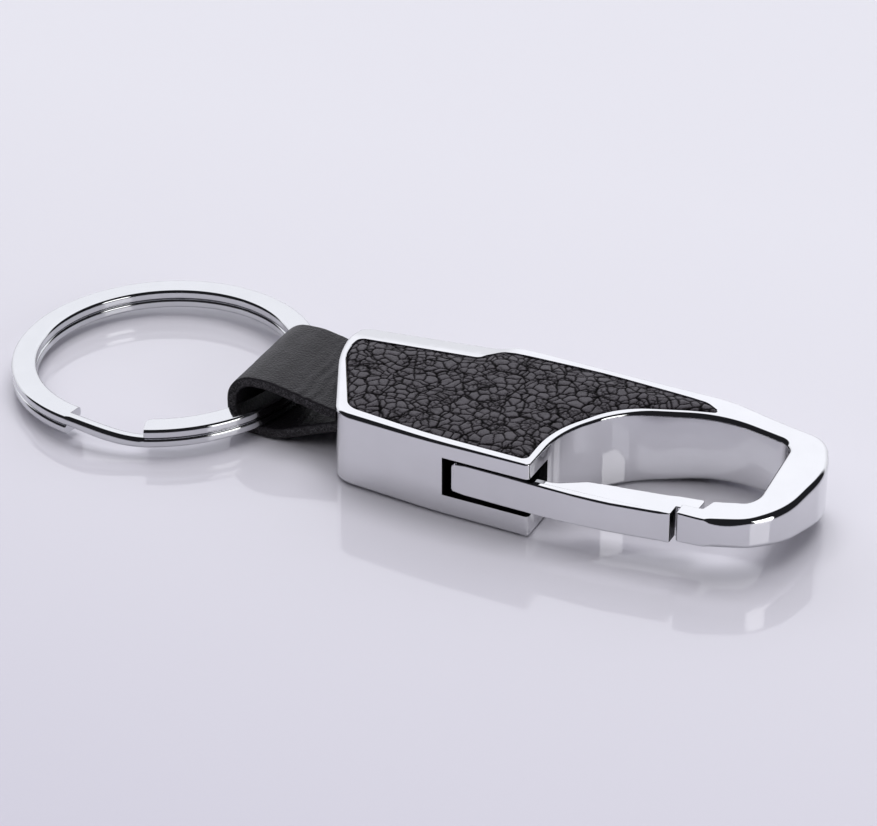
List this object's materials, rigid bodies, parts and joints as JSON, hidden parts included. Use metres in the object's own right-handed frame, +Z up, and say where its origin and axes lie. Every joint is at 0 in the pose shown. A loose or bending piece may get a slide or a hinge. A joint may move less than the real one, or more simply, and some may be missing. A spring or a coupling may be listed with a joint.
{
  "type": "split key ring with strap clip",
  "caption": "Flat split key ring held by a folded leather strap in a chromed spring-gate clip with grained leather inlays.",
  "frame": {"origin": "middle of the whole object's outline seen from above, at the height of the table it lies on", "axes": "+X from the split ring to the clip's nose, +Y from the gate side to the spine side, +Z up from the table"},
  "size_m": [0.0881, 0.032, 0.0087],
  "materials": {
    "chrome": "mirror polished",
    "strap_leather": "smooth, fine grain, satin",
    "inlay_leather": "pebbled grain, satin",
    "pin_steel": "plain",
    "spring_steel": "drawn wire",
    "adhesive": "thin adhesive film"
  },
  "bodies": {
    "casting": {"casting": "chrome", "strap_rivets": "pin_steel", "gate_pin": "pin_steel", "gate_spring": "spring_steel", "top_inlay": "inlay_leather", "bottom_inlay": "inlay_leather", "top_film": "adhesive", "bottom_film": "adhesive"},
    "gate": {"gate": "chrome"},
    "strap": {"strap": "strap_leather"},
    "ring": {"split_ring": "chrome"}
  },
  "joints": [
    {"name": "gate_swing", "type": "hinge", "parent": "casting", "child": "gate", "pos_m": [0.0122, -0.00965, 0.0046], "axis": [0, 0, 1], "range_deg": [0, 22], "stiffness_Nm_per_rad": 0.02, "springref_deg": -34.38, "deforming": ["gate_spring"]},
    {"name": "strap_flex", "type": "hinge", "parent": "casting", "child": "strap", "pos_m": [-0.0089, 0, 0.0038], "axis": [0, 1, 0], "range_deg": [-45, 45], "deforming": ["strap"]},
    {"name": "ring_swing", "type": "hinge", "parent": "strap", "child": "ring", "pos_m": [-0.0142, 0, 0.0034], "axis": [0, 1, 0], "range_deg": [-90, 90], "deforming": ["strap"]}
  ]
}
